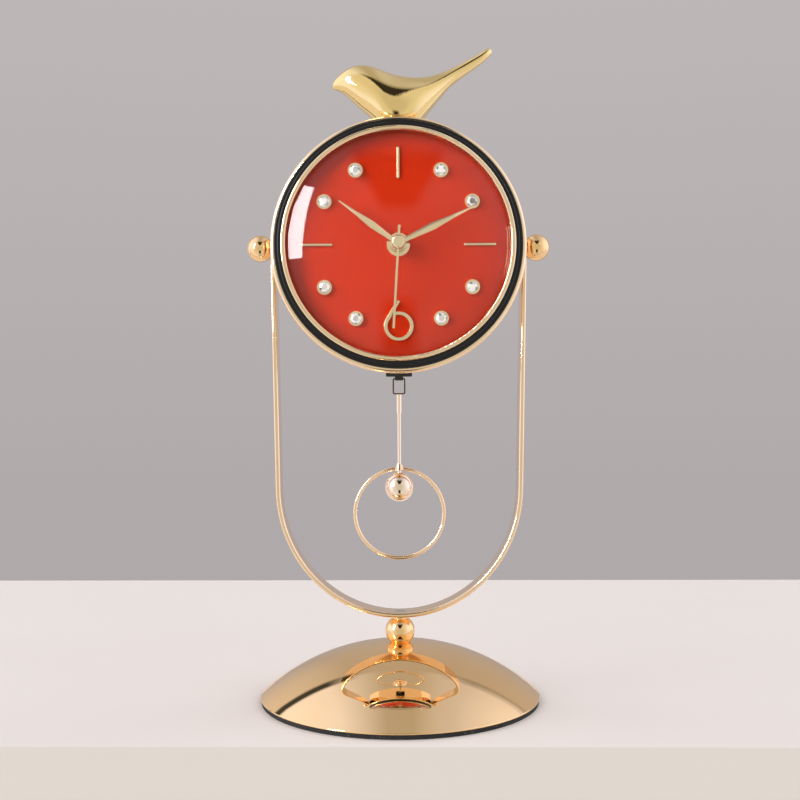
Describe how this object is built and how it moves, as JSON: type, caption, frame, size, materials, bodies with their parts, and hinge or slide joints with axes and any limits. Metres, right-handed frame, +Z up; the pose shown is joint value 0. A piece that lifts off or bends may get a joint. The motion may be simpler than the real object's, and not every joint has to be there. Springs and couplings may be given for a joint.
{
  "type": "desk pendulum clock",
  "caption": "Desk clock with a tilting round head in a U-shaped strap frame on a domed foot, geared hands, a bird on top and a swinging ring pendulum.",
  "frame": {"origin": "middle of the foot's underside, on the surface that it stands on", "axes": "+Z up, the dial faces -Y, +X to the right of a person who reads the dial"},
  "size_m": [0.1636, 0.15, 0.3515],
  "materials": {
    "gold": "polished gold plating",
    "gold_trim": "polished pale gold plating",
    "gold_bird": "vacuum-plated gold on resin",
    "black_gloss": "glossy black",
    "crystal": "clear polished",
    "red_lacquer": "glossy red lacquer",
    "stone": "clear faceted",
    "black_plastic": "fine matt moulding",
    "pale_plastic": "natural nylon",
    "foam": "closed-cell black foam",
    "seal": "soft black",
    "steel": "zinc plated",
    "iron": "bare casting",
    "copper": "enamelled winding",
    "board": "green laminate",
    "cell": "plain sleeve"
  },
  "bodies": {
    "stand": {"base_pad": "foam", "base_dome": "gold", "base_weight": "iron", "base_washer": "steel", "base_nut": "steel", "stem_stud": "steel", "stem_ball": "gold", "u_frame": "gold"},
    "head": {"pivot_bushes": "gold_trim", "pivot_washers": "pale_plastic", "case_shell": "gold", "case_seats": "gold", "bezel_black": "black_gloss", "bezel_gold": "gold_trim", "crystal": "crystal", "crystal_gasket": "seal", "dial": "red_lacquer", "baton_markers": "gold_trim", "numeral_six": "gold_trim", "stone_settings": "gold_trim", "stones": "stone", "dial_washer": "gold_trim", "dial_nut": "gold_trim", "movement_front": "black_plastic", "movement_back": "black_plastic", "centre_bush": "gold_trim", "motor_unit": "pale_plastic", "motor_coil": "copper", "circuit_board": "board", "quartz_can": "steel", "battery": "cell", "battery_contacts": "steel", "back_cover": "black_plastic", "back_cover_screws": "steel", "bird": "gold_bird", "bird_screw": "steel", "slot_liner": "black_plastic", "pendulum_pin": "steel", "coil_bobbin": "pale_plastic", "drive_coil": "copper"},
    "knob_left": {"knob_left": "gold"},
    "knob_right": {"knob_right": "gold"},
    "minute_hand": {"minute_hand": "gold_trim", "minute_pipe": "pale_plastic"},
    "hour_hand": {"hour_hand": "gold_trim", "hour_wheel": "pale_plastic"},
    "second_hand": {"second_hand": "gold_trim", "second_arbor": "steel"},
    "minute_wheel": {"minute_wheel": "pale_plastic", "set_knob": "black_plastic"},
    "pendulum": {"hanger": "black_plastic", "hanger_magnet": "steel", "pendulum_loop": "gold_trim", "pendulum_ferrule": "gold_trim", "pendulum_rod": "gold_trim", "pendulum_collar": "gold_trim", "pendulum_ring": "gold_trim", "pendulum_ball": "gold"}
  },
  "joints": [
    {"name": "head_tilt", "type": "hinge", "parent": "stand", "child": "head", "pos_m": [0, 0, 0.24327], "axis": [1, 0, 0], "range_deg": [-8, 8]},
    {"name": "knob_left_turn", "type": "hinge", "parent": "head", "child": "knob_left", "pos_m": [0, 0, 0.24327], "axis": [1, 0, 0], "continuous": true},
    {"name": "knob_right_turn", "type": "hinge", "parent": "head", "child": "knob_right", "pos_m": [0, 0, 0.24327], "axis": [1, 0, 0], "continuous": true},
    {"name": "minute_turn", "type": "hinge", "parent": "head", "child": "minute_hand", "pos_m": [0, 0, 0.24327], "axis": [0, 1, 0], "continuous": true},
    {"name": "hour_turn", "type": "hinge", "parent": "head", "child": "hour_hand", "pos_m": [0, 0, 0.24327], "axis": [0, 1, 0], "continuous": true},
    {"name": "minute_wheel_turn", "type": "hinge", "parent": "head", "child": "minute_wheel", "pos_m": [0, 0, 0.25527], "axis": [0, 1, 0], "continuous": true},
    {"name": "second_turn", "type": "hinge", "parent": "head", "child": "second_hand", "pos_m": [0, 0, 0.24327], "axis": [0, 1, 0], "continuous": true},
    {"name": "pendulum_swing", "type": "hinge", "parent": "head", "child": "pendulum", "pos_m": [0, 0, 0.19527], "axis": [0, 1, 0], "range_deg": [-8, 8]}
  ],
  "couplings": [
    {"joint": "hour_turn", "follows": "minute_turn", "ratio": 0.083333},
    {"joint": "minute_wheel_turn", "follows": "minute_turn", "ratio": -0.33333}
  ]
}
